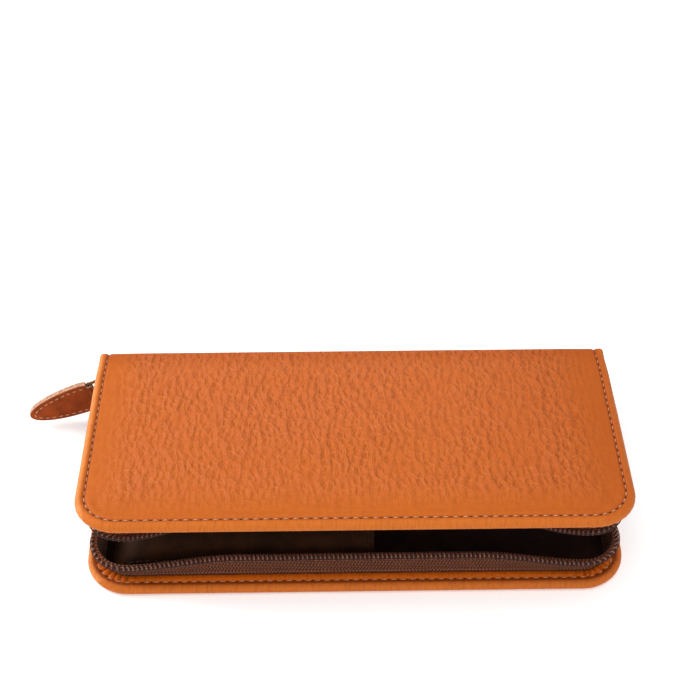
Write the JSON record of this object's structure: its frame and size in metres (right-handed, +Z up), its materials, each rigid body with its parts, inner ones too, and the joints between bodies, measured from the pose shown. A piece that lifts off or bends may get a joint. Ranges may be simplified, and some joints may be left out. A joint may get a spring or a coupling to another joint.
{
  "type": "zip-round pen case",
  "caption": "Leather zip-round clamshell case with stiff covers, a suede sleeve pocket for pens, a coil zip round three sides and a leather zip pull.",
  "frame": {"origin": "centre of the bottom cover's underside, on the surface that the case rests on", "axes": "+X along the length to the right, +Y from the front edge to the spine, +Z up through the covers"},
  "size_m": [0.2128, 0.09, 0.0376],
  "materials": {
    "outer_leather": "pebbled tan-orange grain, satin",
    "pull_leather": "smooth dark tan, matt",
    "lining": "dark red-brown suede",
    "pocket_suede": "olive-brown suede",
    "board": "pressed grey card",
    "zip_tape": "woven herringbone, brown",
    "zip_coil": "brown nylon coil",
    "thread": "waxed pale tan thread",
    "metal": "antique, brushed"
  },
  "bodies": {
    "lower_half": {"bottom_leather": "outer_leather", "bottom_board": "board", "bottom_lining": "lining", "bottom_thread": "thread", "lower_fold": "outer_leather", "lower_tape": "zip_tape", "lower_chain": "zip_coil", "upper_chain_tail": "zip_coil", "zip_bottom_stop": "metal", "lower_end_stop": "metal", "pen_pocket": "pocket_suede", "pocket_thread": "thread"},
    "spine": {"spine_leather": "outer_leather", "spine_lining": "lining", "upper_fold": "outer_leather"},
    "upper_half": {"top_leather": "outer_leather", "top_board": "board", "top_lining": "lining", "top_thread": "thread", "upper_tape": "zip_tape", "upper_chain": "zip_coil", "upper_end_stop": "metal"},
    "zip_slider": {"slider_body": "metal"},
    "bail": {"pull_bail": "metal"},
    "pull": {"pull_front": "pull_leather", "pull_back": "pull_leather", "pull_thread": "thread"}
  },
  "joints": [
    {"name": "spine_fold", "type": "hinge", "parent": "lower_half", "child": "spine", "pos_m": [0, 0.042, 0.003], "axis": [-1, 0, 0], "range_deg": [0, 90], "deforming": ["lower_fold"]},
    {"name": "cover_fold", "type": "hinge", "parent": "spine", "child": "upper_half", "pos_m": [0, 0.042, 0.0245], "axis": [-1, 0, 0], "range_deg": [-6.7, 83.3], "deforming": ["upper_fold"]},
    {"name": "slider_travel", "type": "slide", "parent": "lower_half", "child": "zip_slider", "axis": [0, -1, 0], "range_m": [0, 0.048], "deforming": ["lower_chain", "upper_chain"]},
    {"name": "bail_swing", "type": "hinge", "parent": "zip_slider", "child": "bail", "pos_m": [-0.0923, 0.0375, 0.01375], "axis": [-0.2888, -0.0457, 0.9563], "range_deg": [-50, 50]},
    {"name": "tab_swing", "type": "hinge", "parent": "bail", "child": "pull", "pos_m": [-0.09584, 0.03694, 0.01265], "axis": [-0.2888, -0.0457, 0.9563], "range_deg": [-30, 30]}
  ]
}
